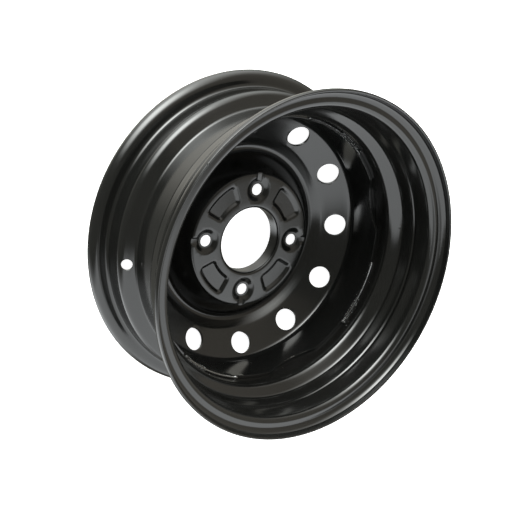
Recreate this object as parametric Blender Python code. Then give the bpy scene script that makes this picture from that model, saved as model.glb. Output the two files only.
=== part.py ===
"""Pressed steel road wheel: a rolled rim band, a pressed centre disc and the four weld beads that join them.

Lengths are metres. Z is the wheel's axis and points inboard. The outboard flange lies on Z = 0, so the
wheel is seen here from the side that faces the car. A bolt hole lies on +X.
"""
import math

import bmesh
import bpy
from mathutils import Matrix, Vector

# Rim band, tyre side, for a 13 inch tyre on a J flange
RIM_WIDTH = 0.1270
BEAD_RADIUS = 0.1647
FLANGE_HEIGHT = 0.0170
FLANGE_ROLL = 0.0100
LIP_WRAP = math.radians(19.0)
RIM_SHEET = 0.0024
LIP_EDGE_ROUND = 0.0008
HEEL_FILLET = 0.0042
SEAT_TAPER = math.radians(5.0)
INNER_SEAT_WIDTH = 0.0196
INNER_HUMP_RISE = 0.0014
INNER_HUMP_WIDTH = 0.0034
LEDGE_INSET = 0.0257
LEDGE_DEPTH = 0.0020
INNER_WALL_INSET = 0.0411
INNER_WALL_DEPTH = 0.0039
INNER_WALL_SLOPE = math.radians(56.0)
INNER_WALL_FILLET = 0.0090
INNER_WELL_FILLET = 0.0060
WELL_DEPTH = 0.0161
OUTER_WELL_FILLET = 0.0042
OUTER_WALL_SLOPE = math.radians(61.0)
OUTER_WALL_FILLET = 0.0075
OUTER_WALL_INSET = 0.0264
OUTER_WALL_DEPTH = 0.0008
OUTER_HUMP_RISE = 0.0008
OUTER_HUMP_WIDTH = 0.0043
OUTER_SEAT_WIDTH = 0.0161
VALVE_HOLE_RADIUS = 0.0057
VALVE_WALL_SHARE = 0.555
VALVE_AZIMUTH = math.radians(97.1)

# Centre disc, inboard side
WHEEL_OFFSET = 0.0450
DISC_SHEET = 0.0030
BORE_RADIUS = 0.0365
BORE_FLANGE_LENGTH = 0.0160
BORE_FILLET = 0.0037
PAD_RADIUS = 0.0749
SHOULDER_FILLET = 0.0042
VALLEY_SHARE = 0.3340
VALLEY_DEPTH = 0.0305
VALLEY_FILLET = 0.0080
BAND_START_SHARE = 0.5280
BAND_START_DEPTH = 0.0182
BAND_FILLET = 0.0120
BAND_SLOPE = math.radians(29.2)
DISC_FILLET = 0.0090
DISC_EDGE_RISE = 0.0430
SEAM_GAP = 0.0003

# Bolt holes on their circle, each in a round recess that opens to the pad's edge
BOLT_COUNT = 4
BOLT_CIRCLE_RADIUS = 0.05715
BOLT_HOLE_RADIUS = 0.0069
NUT_SEAT_RADIUS = 0.0086
RECESS_RADIUS = 0.0140
RECESS_DEPTH = 0.0027
RECESS_DRAFT = 0.0045
SLOT_WIDTH = 0.0110
SLOT_DEPTH = 0.0020
SLOT_DRAFT = 0.0014
SLOT_BACK_REACH = 0.0012
SLOT_BACK_LIFT = 0.00025

# Curved pockets between the bolt holes
POCKET_INNER_RADIUS = 0.0475
POCKET_OUTER_RADIUS = 0.0682
POCKET_HALF_ANGLE = math.radians(19.8)
POCKET_CORNER = 0.0060
POCKET_DEPTH = 0.0026
POCKET_DRAFT = 0.0030
PRESSED_WALL = 0.0013

# Vent holes through the sloping band
VENT_COUNT = 12
VENT_SHARE = 0.7559
VENT_RADIUS = 0.0132
VENT_AZIMUTH = math.radians(6.7)

# Clearance notches in the disc's edge, and the weld beads between them
NOTCH_COUNT = 4
NOTCH_AZIMUTH = math.radians(21.5)
NOTCH_DEPTH = 0.0090
NOTCH_RADIUS = 0.0600
BEAD_COUNT = 4
BEAD_AZIMUTH = math.radians(66.7)
BEAD_ARC = math.radians(35.0)
BEAD_HEIGHT = 0.0056
BEAD_RIPPLE = 0.0003
BEAD_STEPS = 12
BEAD_END = 0.45

# Fineness of the turned shapes and of the round cutters
TURN_STEPS = 52
ARC_STEP = math.radians(28.0)
HOLE_SIDES = 20
NOTCH_SIDES = 60
CORNER_STEPS = 2
BEAD_SIDES = 3
SMOOTH_ANGLE = math.radians(40.0)
SHORTEST_FACET = 0.0006
REACH = 0.0100
OVERLAP = 0.0010

FLANGE_RADIUS = BEAD_RADIUS + FLANGE_HEIGHT
LIP_OVERHANG = FLANGE_ROLL * (1.0 + math.sin(LIP_WRAP))
LIP_TIP = LIP_EDGE_ROUND * math.cos(LIP_WRAP) - RIM_SHEET / 2 * math.sin(LIP_WRAP)
OUTER_FACE_Z = LIP_OVERHANG + LIP_TIP
INNER_FACE_Z = OUTER_FACE_Z + RIM_WIDTH
PAD_Z = OUTER_FACE_Z + RIM_WIDTH / 2 - WHEEL_OFFSET
WELL_RADIUS = BEAD_RADIUS - WELL_DEPTH
WELL_INSIDE = WELL_RADIUS - RIM_SHEET
FLANGE_INSIDE = WELL_INSIDE - SEAM_GAP - DISC_SHEET
BOWL_WIDTH = FLANGE_INSIDE - PAD_RADIUS
VALLEY_RADIUS = PAD_RADIUS + BOWL_WIDTH * VALLEY_SHARE
VALLEY_Z = PAD_Z - VALLEY_DEPTH
BAND_START_RADIUS = PAD_RADIUS + BOWL_WIDTH * BAND_START_SHARE
BAND_START_Z = PAD_Z - BAND_START_DEPTH
VENT_CIRCLE_RADIUS = PAD_RADIUS + BOWL_WIDTH * VENT_SHARE
VENT_CIRCLE_Z = BAND_START_Z + (VENT_CIRCLE_RADIUS - BAND_START_RADIUS) * math.tan(BAND_SLOPE)
DISC_CORNER_Z = BAND_START_Z + (FLANGE_INSIDE - BAND_START_RADIUS) * math.tan(BAND_SLOPE)
DISC_EDGE_Z = PAD_Z + DISC_EDGE_RISE


def clear_scene():
    for item in list(bpy.data.objects):
        bpy.data.objects.remove(item, do_unlink=True)


def paint(name, colour, roughness):
    material = bpy.data.materials.new(name)
    material.use_nodes = True
    shader = material.node_tree.nodes["Principled BSDF"]
    shader.inputs["Base Color"].default_value = (*colour, 1.0)
    shader.inputs["Roughness"].default_value = roughness
    shader.inputs["Metallic"].default_value = 0.0
    return material


def add_object(name, mesh, parent, material=None):
    item = bpy.data.objects.new(name, mesh)
    bpy.context.scene.collection.objects.link(item)
    item.parent = parent
    if material and not mesh.materials:
        mesh.materials.append(material)
    return item


def finish_mesh(name, bm, smooth=True):
    """Turn a bmesh into a mesh with its faces outward, smooth over the gentle bends."""
    bmesh.ops.remove_doubles(bm, verts=bm.verts, dist=1e-7)
    bmesh.ops.recalc_face_normals(bm, faces=bm.faces)
    mesh = bpy.data.meshes.new(name)
    bm.to_mesh(mesh)
    bm.free()
    if smooth:
        mesh.shade_smooth()
        mesh.set_sharp_from_angle(angle=SMOOTH_ANGLE)
    return mesh


def bent_path(corners):
    """Follow corners (radius, z, fillet) and return points with the normal on their left."""
    points = []
    last = len(corners) - 1
    for index, (radius, z, fillet) in enumerate(corners):
        here = Vector((radius, z))
        before = (here - Vector(corners[index - 1][:2])).normalized() if index > 0 else None
        after = (Vector(corners[index + 1][:2]) - here).normalized() if index < last else None
        if before is None or after is None:
            along = after or before
            points.append((here, Vector((-along.y, along.x))))
            continue
        turn = math.atan2(before.cross(after), before.dot(after))
        if fillet == 0.0:
            middle = (before + after).normalized()
            points.append((here, Vector((-middle.y, middle.x)) / math.cos(turn / 2)))
            continue
        setback = fillet * math.tan(abs(turn) / 2)
        start = here - before * setback
        side = math.copysign(1.0, turn)
        normal = Vector((-before.y, before.x))
        centre = start + normal * fillet * side
        steps = max(1, round(abs(turn) / ARC_STEP))
        for step in range(steps + 1):
            turned = Matrix.Rotation(turn * step / steps, 2) @ normal
            points.append((centre - turned * fillet * side, turned))
    path = [points[0]]
    for point in points[1:]:
        if (point[0] - path[-1][0]).length > 1e-6:
            path.append(point)
    return path


def sheet_section(path, sheet, edge_round=0.0):
    """Close a sheet of even thickness behind a path, with its two cut edges rounded outward."""
    front = [point for point, normal in path]
    back = []
    for point, normal in path:
        behind = point - normal * sheet
        if not back or (behind - back[-1]).length > SHORTEST_FACET:
            back.append(behind)
    loop = front + back[::-1]
    if edge_round:
        for place, index, sign in ((len(front), -1, 1), (len(loop) + 1, 0, -1)):
            normal = path[index][1]
            along = Vector((normal.y, -normal.x)) * sign
            loop.insert(place, path[index][0] - normal * sheet / 2 + along * edge_round)
    return loop


def turned_mesh(name, loop):
    """Spin a closed section of (radius, z) points once round Z."""
    bm = bmesh.new()
    ring = [bm.verts.new((point.x, 0.0, point.y)) for point in loop]
    edges = [bm.edges.new((ring[index - 1], ring[index])) for index in range(len(ring))]
    bmesh.ops.spin(bm, geom=ring + edges, cent=(0, 0, 0), axis=(0, 0, 1),
                   angle=math.tau, steps=TURN_STEPS, use_merge=True)
    return finish_mesh(name, bm)


def add_loft(bm, rings):
    """Skin a row of equal rings of points and cap both ends."""
    made = [[bm.verts.new(point) for point in ring] for ring in rings]
    count = len(made[0])
    for low, high in zip(made, made[1:]):
        for index in range(count):
            bm.faces.new((low[index - 1], low[index], high[index], high[index - 1]))
    bm.faces.new(made[0])
    bm.faces.new(reversed(made[-1]))


def round_ring(radius, sides):
    return [Vector((radius * math.cos(math.tau * k / sides), radius * math.sin(math.tau * k / sides), 0.0))
            for k in range(sides)]


def placed(ring, matrix, lift):
    """Lift a flat ring along its own axis and then place it."""
    return [matrix @ (point + Vector((0, 0, lift))) for point in ring]


def azimuth(angle):
    return Matrix.Rotation(angle, 4, "Z")


def cutter_object(name, bm, target, operation):
    """Store a tool body and let it work on its target through a Boolean modifier."""
    tool = add_object(name, finish_mesh(name, bm, smooth=False), target.parent)
    tool.display_type = "WIRE"
    tool.hide_render = True
    modifier = target.modifiers.new(name, "BOOLEAN")
    modifier.operation = operation
    modifier.object = tool
    modifier.solver = "EXACT"
    return tool


def seat_drop(distance):
    """Fall of the tapered bead seat at a distance from its flange."""
    return distance * math.tan(SEAT_TAPER)


def rim_side(face_z, seat_width, hump_rise, hump_width, inward):
    """Corners of one side of the rim, from its lip to the crest of its hump."""
    wrap_end = (FLANGE_RADIUS - FLANGE_ROLL * (1 - math.cos(LIP_WRAP)), face_z - inward * LIP_OVERHANG, 0.0)
    roll_tangent = FLANGE_ROLL * math.tan((math.pi / 2 + LIP_WRAP) / 2)
    roll = (FLANGE_RADIUS - FLANGE_ROLL + roll_tangent, face_z, FLANGE_ROLL)
    heel = (BEAD_RADIUS, face_z, HEEL_FILLET)
    foot_radius = BEAD_RADIUS - seat_drop(seat_width)
    foot = (foot_radius, face_z + inward * seat_width, 0.0)
    crest = (foot_radius + hump_rise, face_z + inward * (seat_width + hump_width), 0.0)
    return [wrap_end, roll, heel, foot, crest]


def wall_corners(inset, depth, slope, face_z, inward):
    """Top and foot of one wall of the drop centre, as plain (radius, z) points."""
    top = Vector((BEAD_RADIUS - depth, face_z + inward * inset))
    fall = top.x - WELL_RADIUS
    return top, Vector((WELL_RADIUS, top.y + inward * fall / math.tan(slope)))


def rim_corners(valve_wall):
    """Tyre side of the rim, from the inboard lip to the outboard lip."""
    inboard = rim_side(INNER_FACE_Z, INNER_SEAT_WIDTH, INNER_HUMP_RISE, INNER_HUMP_WIDTH, -1)
    outboard = rim_side(OUTER_FACE_Z, OUTER_SEAT_WIDTH, OUTER_HUMP_RISE, OUTER_HUMP_WIDTH, 1)
    inner_top, inner_foot = wall_corners(INNER_WALL_INSET, INNER_WALL_DEPTH, INNER_WALL_SLOPE,
                                         INNER_FACE_Z, -1)
    outer_top, outer_foot = valve_wall
    middle = [
        (BEAD_RADIUS - LEDGE_DEPTH, INNER_FACE_Z - LEDGE_INSET, 0.0),
        (*inner_top, INNER_WALL_FILLET),
        (*inner_foot, INNER_WELL_FILLET),
        (*outer_foot, OUTER_WELL_FILLET),
        (*outer_top, OUTER_WALL_FILLET),
    ]
    return inboard + middle + outboard[::-1]


def make_rim(parent, material):
    """The rolled band: two flanges, tapered seats, humps and the drop-centre well."""
    valve_wall = wall_corners(OUTER_WALL_INSET, OUTER_WALL_DEPTH, OUTER_WALL_SLOPE, OUTER_FACE_Z, 1)
    section = sheet_section(bent_path(rim_corners(valve_wall)), RIM_SHEET, LIP_EDGE_ROUND)
    rim = add_object("rim_band", turned_mesh("rim_band", section), parent, material)
    top, foot = valve_wall
    spot = foot.lerp(top, VALVE_WALL_SHARE)
    slope = (top - foot).normalized()
    lean = math.atan2(-slope.y, slope.x)
    stand = azimuth(VALVE_AZIMUTH) @ Matrix.Translation((spot.x, 0, spot.y)) @ Matrix.Rotation(lean, 4, "Y")
    hole = round_ring(VALVE_HOLE_RADIUS, HOLE_SIDES)
    bm = bmesh.new()
    add_loft(bm, [placed(hole, stand, -REACH), placed(hole, stand, REACH)])
    cutter_object("valve_hole_tool", bm, rim, "DIFFERENCE")
    return rim


def disc_corners():
    """Inboard side of the disc, from the end of the bore's flange to the edge at the rim."""
    return [
        (BORE_RADIUS, PAD_Z - BORE_FLANGE_LENGTH, 0.0),
        (BORE_RADIUS, PAD_Z, BORE_FILLET),
        (PAD_RADIUS, PAD_Z, SHOULDER_FILLET),
        (VALLEY_RADIUS, VALLEY_Z, VALLEY_FILLET),
        (BAND_START_RADIUS, BAND_START_Z, BAND_FILLET),
        (FLANGE_INSIDE, DISC_CORNER_Z, DISC_FILLET),
        (FLANGE_INSIDE, DISC_EDGE_Z, 0.0),
    ]


def pocket_ring(grow):
    """Outline of a curved pocket centred on +X, grown outward by a distance."""
    corner = POCKET_CORNER + max(grow, -POCKET_CORNER / 2)
    centres = []
    for radius, inset in ((POCKET_OUTER_RADIUS + grow, -corner), (POCKET_INNER_RADIUS - grow, corner)):
        arm = radius + inset
        spread = POCKET_HALF_ANGLE - math.asin((corner - grow) / arm)
        centres.append((arm, spread))
    (outer_arm, outer_spread), (inner_arm, inner_spread) = centres
    ring = []
    spans = ((outer_arm, -outer_spread, -90), (outer_arm, 0.0, None), (outer_arm, outer_spread, 0),
             (inner_arm, inner_spread, 90), (inner_arm, 0.0, None), (inner_arm, -inner_spread, 180))
    for arm, spread, first in spans:
        if first is None:
            edge = arm + corner if arm == outer_arm else arm - corner
            half_spread = outer_spread / 2 if arm == outer_arm else -inner_spread / 2
            for turn in (-half_spread, 0.0, half_spread):
                ring.append(Vector((edge * math.cos(turn), edge * math.sin(turn), 0.0)))
            continue
        middle = Vector((arm * math.cos(spread), arm * math.sin(spread), 0.0))
        for step in range(CORNER_STEPS + 1):
            turn = spread + math.radians(first) + math.pi / 2 * step / CORNER_STEPS
            ring.append(middle + Vector((math.cos(turn), math.sin(turn), 0.0)) * corner)
    return ring


def slot_ring(width, inner, outer):
    """Flat outline of a radial slot along +X with a square outer end."""
    half = width / 2
    return [Vector(point) for point in ((inner, -half, 0.0), (outer, -half, 0.0), (outer, half, 0.0),
                                        (inner, half, 0.0))]


def add_press(bm, turn, wide, narrow, top, bottom):
    """Add one drafted body between two outlines at their heights."""
    stand = azimuth(turn)
    add_loft(bm, [placed(narrow, stand, bottom), placed(wide, stand, top)])


def draft_at(depth, full_depth, draft):
    """Share of the draft that is used up at a depth; above the sheet it is negative."""
    return draft * depth / full_depth


def press_bolt_areas(disc):
    """Round recesses and their slots, with the raised backs that pressing leaves outboard."""
    back_z = PAD_Z - DISC_SHEET
    centre = Matrix.Translation((BOLT_CIRCLE_RADIUS, 0, 0))
    slot_inner = BOLT_CIRCLE_RADIUS + RECESS_RADIUS / 2
    backs, slot_backs, recesses, slots = bmesh.new(), bmesh.new(), bmesh.new(), bmesh.new()
    for index in range(BOLT_COUNT):
        turn = math.tau * index / BOLT_COUNT
        wide = placed(round_ring(RECESS_RADIUS + PRESSED_WALL, HOLE_SIDES), centre, 0)
        narrow = placed(round_ring(RECESS_RADIUS + PRESSED_WALL - RECESS_DRAFT / 2, HOLE_SIDES), centre, 0)
        add_press(backs, turn, wide, narrow, back_z + OVERLAP, back_z - RECESS_DEPTH)
        slot_end = PAD_RADIUS + SLOT_BACK_REACH
        wide = slot_ring(SLOT_WIDTH + 2 * PRESSED_WALL, slot_inner, slot_end)
        narrow = slot_ring(SLOT_WIDTH, slot_inner, slot_end)
        add_press(slot_backs, turn, wide, narrow, back_z + SLOT_BACK_LIFT, back_z - SLOT_DEPTH)
        above = draft_at(-OVERLAP, RECESS_DEPTH, RECESS_DRAFT)
        wide = placed(round_ring(RECESS_RADIUS - above, HOLE_SIDES), centre, 0)
        narrow = placed(round_ring(RECESS_RADIUS - RECESS_DRAFT, HOLE_SIDES), centre, 0)
        add_press(recesses, turn, wide, narrow, PAD_Z + OVERLAP, PAD_Z - RECESS_DEPTH)
        above = draft_at(-OVERLAP, SLOT_DEPTH, SLOT_DRAFT)
        wide = slot_ring(SLOT_WIDTH - 2 * above, slot_inner, PAD_RADIUS + REACH)
        narrow = slot_ring(SLOT_WIDTH - 2 * SLOT_DRAFT, slot_inner, PAD_RADIUS + REACH)
        add_press(slots, turn, wide, narrow, PAD_Z + OVERLAP, PAD_Z - SLOT_DEPTH)
    cutter_object("recess_back_tool", backs, disc, "UNION")
    cutter_object("slot_back_tool", slot_backs, disc, "UNION")
    cutter_object("recess_tool", recesses, disc, "DIFFERENCE")
    cutter_object("slot_tool", slots, disc, "DIFFERENCE")


def press_pockets(disc):
    """Curved pockets between the bolt holes, with their raised backs."""
    back_z = PAD_Z - DISC_SHEET
    backs, pockets = bmesh.new(), bmesh.new()
    for index in range(BOLT_COUNT):
        turn = math.tau * (index + 0.5) / BOLT_COUNT
        add_press(backs, turn, pocket_ring(PRESSED_WALL), pocket_ring(PRESSED_WALL - POCKET_DRAFT),
                  back_z + OVERLAP, back_z - POCKET_DEPTH)
        above = draft_at(-OVERLAP, POCKET_DEPTH, POCKET_DRAFT)
        add_press(pockets, turn, pocket_ring(-above), pocket_ring(-POCKET_DRAFT),
                  PAD_Z + OVERLAP, PAD_Z - POCKET_DEPTH)
    cutter_object("pocket_back_tool", backs, disc, "UNION")
    cutter_object("pocket_tool", pockets, disc, "DIFFERENCE")


def pierce_bolt_holes(disc):
    """Bolt holes whose nut seats open outboard."""
    floor_z = PAD_Z - RECESS_DEPTH
    back_z = floor_z - DISC_SHEET
    flare = (NUT_SEAT_RADIUS - BOLT_HOLE_RADIUS) / DISC_SHEET
    centre = Matrix.Translation((BOLT_CIRCLE_RADIUS, 0, 0))
    bm = bmesh.new()
    for index in range(BOLT_COUNT):
        stand = azimuth(math.tau * index / BOLT_COUNT) @ centre
        mouth = round_ring(NUT_SEAT_RADIUS + flare * OVERLAP, HOLE_SIDES)
        throat = round_ring(BOLT_HOLE_RADIUS, HOLE_SIDES)
        add_loft(bm, [placed(mouth, stand, back_z - OVERLAP), placed(throat, stand, floor_z),
                      placed(throat, stand, PAD_Z + OVERLAP)])
    cutter_object("bolt_hole_tool", bm, disc, "DIFFERENCE")


def pierce_vents(disc):
    """Round vents, each square to the sloping band."""
    hole = round_ring(VENT_RADIUS, HOLE_SIDES)
    bm = bmesh.new()
    for index in range(VENT_COUNT):
        turn = VENT_AZIMUTH + math.tau * index / VENT_COUNT
        stand = (azimuth(turn) @ Matrix.Translation((VENT_CIRCLE_RADIUS, 0, VENT_CIRCLE_Z))
                 @ Matrix.Rotation(-BAND_SLOPE, 4, "Y"))
        add_loft(bm, [placed(hole, stand, -REACH), placed(hole, stand, REACH)])
    cutter_object("vent_tool", bm, disc, "DIFFERENCE")


def notch_edge(disc):
    """Shallow round notches that leave four welding lands on the disc's edge."""
    middle_z = DISC_EDGE_Z - NOTCH_DEPTH + NOTCH_RADIUS
    hole = round_ring(NOTCH_RADIUS, NOTCH_SIDES)
    bm = bmesh.new()
    for index in range(NOTCH_COUNT):
        turn = NOTCH_AZIMUTH + math.tau * index / NOTCH_COUNT
        stand = (azimuth(turn) @ Matrix.Translation((FLANGE_INSIDE, 0, middle_z))
                 @ Matrix.Rotation(math.pi / 2, 4, "Y"))
        add_loft(bm, [placed(hole, stand, -REACH), placed(hole, stand, REACH)])
    cutter_object("edge_notch_tool", bm, disc, "DIFFERENCE")


def make_disc(parent, material):
    """The pressed disc: bore flange, hub pad, valley, vented band and welding flange."""
    section = sheet_section(bent_path(disc_corners()), DISC_SHEET)
    disc = add_object("centre_disc", turned_mesh("centre_disc", section), parent, material)
    press_bolt_areas(disc)
    press_pockets(disc)
    pierce_bolt_holes(disc)
    pierce_vents(disc)
    notch_edge(disc)
    return disc


def bead_section(size):
    """Fillet weld section as (radius, z): flat on the disc's edge and on the well, full between them."""
    outer = WELL_INSIDE * math.cos(math.pi / TURN_STEPS) - SEAM_GAP
    base_z = DISC_EDGE_Z + SEAM_GAP
    width = (outer - FLANGE_INSIDE) * size
    height = BEAD_HEIGHT * size
    section = [Vector((outer, base_z))]
    for step in range(BEAD_SIDES + 1):
        turn = math.pi / 2 * step / BEAD_SIDES
        section.append(Vector((outer - width * math.cos(turn), base_z + height * math.sin(turn))))
    return section


def make_beads(parent, material):
    """Four rippled fillet welds, one on each land of the disc's edge."""
    bm = bmesh.new()
    rings = []
    for step in range(BEAD_STEPS + 1):
        along = step / BEAD_STEPS
        turn = BEAD_ARC * (along - 0.5)
        size = 1.0 + BEAD_RIPPLE / BEAD_HEIGHT * (-1) ** step
        if step in (0, BEAD_STEPS):
            size = BEAD_END
        rings.append([azimuth(turn) @ Vector((point.x, 0.0, point.y)) for point in bead_section(size)])
    add_loft(bm, rings)
    mesh = finish_mesh("weld_bead", bm)
    for index in range(BEAD_COUNT):
        bead = add_object(f"weld_bead_{index + 1}", mesh, parent, material)
        bead.rotation_euler.z = BEAD_AZIMUTH + math.tau * index / BEAD_COUNT


def main():
    clear_scene()
    axis = bpy.data.objects.new("wheel_axis", None)
    bpy.context.scene.collection.objects.link(axis)
    make_rim(axis, paint("rim_paint", (0.012, 0.012, 0.013), 0.30))
    make_disc(axis, paint("disc_paint", (0.013, 0.013, 0.014), 0.32))
    make_beads(axis, paint("weld_paint", (0.016, 0.016, 0.017), 0.38))
    bpy.context.view_layer.update()


main()
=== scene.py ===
# %% [markdown]
# # A pressed steel road wheel, seen from the side that faces the car
#
# The wheel is sheet steel throughout: a flat strip is rolled, welded and formed into the rim band,
# a blank is pressed into the centre disc, and four short welds hold the two together. It is dipped
# in a semi-gloss black paint afterwards. Nothing on it moves, so every piece rides on the one body
# "root". The solids from model.glb are loaded first. They fix the sizes, and each finer piece made
# below takes the place of one of them without leaving the box that they fill.

# %% Load the fixed frame
import math

import bmesh
import bpy
from mathutils import Euler, Matrix, Vector, noise


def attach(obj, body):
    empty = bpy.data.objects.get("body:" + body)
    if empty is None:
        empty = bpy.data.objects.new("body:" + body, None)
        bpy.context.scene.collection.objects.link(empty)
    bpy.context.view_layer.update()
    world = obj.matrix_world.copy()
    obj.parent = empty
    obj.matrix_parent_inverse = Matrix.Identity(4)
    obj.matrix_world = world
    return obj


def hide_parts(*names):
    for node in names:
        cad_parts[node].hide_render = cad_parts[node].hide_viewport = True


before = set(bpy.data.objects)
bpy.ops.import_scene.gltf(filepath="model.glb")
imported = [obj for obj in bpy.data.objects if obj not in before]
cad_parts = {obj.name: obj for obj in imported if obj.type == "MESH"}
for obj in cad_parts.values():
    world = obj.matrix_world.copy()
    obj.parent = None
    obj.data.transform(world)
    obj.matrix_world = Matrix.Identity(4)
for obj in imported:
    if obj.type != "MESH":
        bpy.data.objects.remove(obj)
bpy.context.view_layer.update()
scene = bpy.context.scene
print("solids:", sorted(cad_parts))

# %% [markdown]
# ## Sizes
#
# A wheel is drawn as one section that is turned about the axle line, so nearly every size is
# either a radius or a height along that line. The rim sizes belong to a 13 inch rim with a J
# flange. The disc sizes are the hub pad's, the valley's round it and the sloping band's with its
# vents. They repeat the solids' values, so a reader can change a fillet here and see at once what
# it does to the light.

# %% Sizes of the rolled rim band
RIM_WIDTH = 0.1270
BEAD_RADIUS = 0.1647
FLANGE_HEIGHT, FLANGE_ROLL = 0.01689, 0.0100
LIP_WRAP = math.radians(19.0)
RIM_SHEET = 0.0024
LIP_EDGE_ROUND = 0.0008
LIP_CLEARANCE = 0.00012
HEEL_FILLET = 0.0042
SEAT_TAPER = math.radians(5.0)
INNER_SEAT_WIDTH, OUTER_SEAT_WIDTH = 0.0196, 0.0161
INNER_HUMP_RISE = 0.0014
WELL_RADIUS = 0.1486
INNER_WALL_SLOPE, OUTER_WALL_SLOPE = math.radians(52.5), math.radians(65.0)
VALVE_HOLE_RADIUS, VALVE_CHAMFER = 0.0058, 0.0003
VALVE_AZIMUTH, VALVE_WALL_SHARE = math.radians(97.1), 0.555

FLANGE_RADIUS = BEAD_RADIUS + FLANGE_HEIGHT
LIP_OVERHANG = FLANGE_ROLL * (1.0 + math.sin(LIP_WRAP))
LIP_TIP = LIP_EDGE_ROUND * math.cos(LIP_WRAP) - RIM_SHEET / 2 * math.sin(LIP_WRAP)
OUTER_FACE_Z = LIP_OVERHANG + LIP_TIP
INNER_FACE_Z = OUTER_FACE_Z + RIM_WIDTH
print(f"rim: {2000 * FLANGE_RADIUS:.1f} mm over its flanges, {1000 * RIM_WIDTH:.0f} mm between")

# %% Sizes of the pressed centre disc
DISC_SHEET = 0.0030
WHEEL_OFFSET = 0.0450
BORE_RADIUS, BORE_FLANGE_LENGTH = 0.0368, 0.0160
PAD_RADIUS = 0.0749
VALLEY_RADIUS, VALLEY_DEPTH = 0.0976, 0.0305
STEP_RADIUS, STEP_DEPTH = 0.1108, 0.0182
BAND_SLOPE = math.radians(29.2)
DISC_EDGE_RISE = 0.0430
SEAM_GAP = 0.0003
BOLT_COUNT, BOLT_CIRCLE_RADIUS, BOLT_HOLE_RADIUS = 4, 0.05715, 0.0063
NUT_SEAT_RADIUS = 0.0089
VENT_COUNT, VENT_CIRCLE_RADIUS, VENT_RADIUS = 12, 0.1263, 0.0127
VENT_AZIMUTH = math.radians(6.7)
NOTCH_COUNT, NOTCH_DEPTH, NOTCH_RADIUS = 4, 0.0090, 0.0600
NOTCH_AZIMUTH = math.radians(21.5)
BEAD_AZIMUTH = math.radians(66.7)

PAD_Z = OUTER_FACE_Z + RIM_WIDTH / 2 - WHEEL_OFFSET
WELL_INSIDE = WELL_RADIUS - RIM_SHEET
FLANGE_INSIDE = WELL_INSIDE - SEAM_GAP - DISC_SHEET
VALLEY_Z = PAD_Z - VALLEY_DEPTH
STEP_Z = PAD_Z - STEP_DEPTH
DISC_CORNER_Z = STEP_Z + (FLANGE_INSIDE - STEP_RADIUS) * math.tan(BAND_SLOPE)
DISC_EDGE_Z = PAD_Z + DISC_EDGE_RISE
print(f"disc: pad at {1000 * PAD_Z:.1f} mm, edge at {1000 * DISC_EDGE_Z:.1f} mm above the floor")

# %% [markdown]
# ## Drawing a sheet's section
#
# Pressed sheet never has a knife-sharp corner: it is flat, then it turns through a radius, then it
# is flat again. So the section is written down as a few corners, each with its own bend radius,
# and a helper walks along them. It returns each point with the direction that faces away from the
# sheet, and a second helper sets the sheet's other face one thickness behind. Typing the curves in
# as points would work too, but then no bend could be changed by itself.

# %% Bends and sheet thickness
ARC_STEP = math.radians(7.0)
LONGEST_FLAT = 0.006


def bent_path(corners, arc_step=ARC_STEP):
    """Walk along (radius, z, bend) corners and give points with the normal on their left."""
    places = [Vector(corner[:2]) for corner in corners]
    points = []
    for index, (here, corner) in enumerate(zip(places, corners)):
        before = (here - places[index - 1]).normalized() if index else None
        after = (places[index + 1] - here).normalized() if index + 1 < len(places) else None
        if before is None or after is None:
            along = after or before
            points.append((here, Vector((-along.y, along.x))))
            continue
        turn = math.atan2(before.cross(after), before.dot(after))
        side = math.copysign(1.0, turn)
        bend = corner[2]
        start = here - before * bend * math.tan(abs(turn) / 2)
        normal = Vector((-before.y, before.x))
        centre = start + normal * bend * side
        steps = max(2, round(abs(turn) / arc_step))
        for step in range(steps + 1):
            turned = Matrix.Rotation(turn * step / steps, 2) @ normal
            points.append((centre - turned * bend * side, turned))
    return points


def split_long(path, longest=LONGEST_FLAT):
    """Add points on the flats, so that their shading has somewhere to change."""
    dense = [path[0]]
    for here, there in zip(path, path[1:]):
        pieces = max(1, math.ceil((there[0] - here[0]).length / longest))
        for k in range(1, pieces + 1):
            normal = here[1].lerp(there[1], k / pieces).normalized()
            dense.append((here[0].lerp(there[0], k / pieces), normal))
    return dense


def sheet_loop(path, sheet, bulge):
    """Close a sheet behind a path, with both cut edges rounded outward by a bulge."""
    def cap(index, sign, first):
        point, normal = path[index]
        along = Vector((normal.y, -normal.x)) * sign
        turns = [math.pi * step / 6 for step in range(1, 6)]
        edge = [point - normal * sheet * (1 - math.cos(turn)) / 2 + along * bulge * math.sin(turn)
                for turn in turns]
        return edge if first else edge[::-1]

    front = [point for point, normal in path]
    back = [point - normal * sheet for point, normal in path]
    return front + cap(-1, 1, True) + back[::-1] + cap(0, -1, False)


demo = bent_path([(0.0, 0.0, 0.0), (0.01, 0.0, 0.002), (0.01, 0.01, 0.0)])
print("a right-angled bend takes", len(demo), "points")

# %% [markdown]
# ## Small builders
#
# A few helpers are shared by all pieces: one puts a mesh in the scene, one stores a closed section
# as a curve for the turning tree, and two skin a row of rings into a closed body for the press
# tools and the round punches. A tool is only there to cut, so it is removed once the cut is baked.

# %% Shared builders
def place(name, data):
    """Put a mesh or a curve in the scene at the origin."""
    item = bpy.data.objects.new(name, data)
    scene.collection.objects.link(item)
    return item


def section_curve(name, loop, sweep_radius):
    """A closed section, stored relative to the circle that it is swept round."""
    curve = bpy.data.curves.new(name, "CURVE")
    curve.dimensions = "3D"
    spline = curve.splines.new("POLY")
    spline.points.add(len(loop) - 1)
    for point, (radius, z) in zip(spline.points, loop):
        point.co = (radius - sweep_radius, -z, 0.0, 1.0)
    spline.use_cyclic_u = True
    return place(name, curve)


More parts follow.
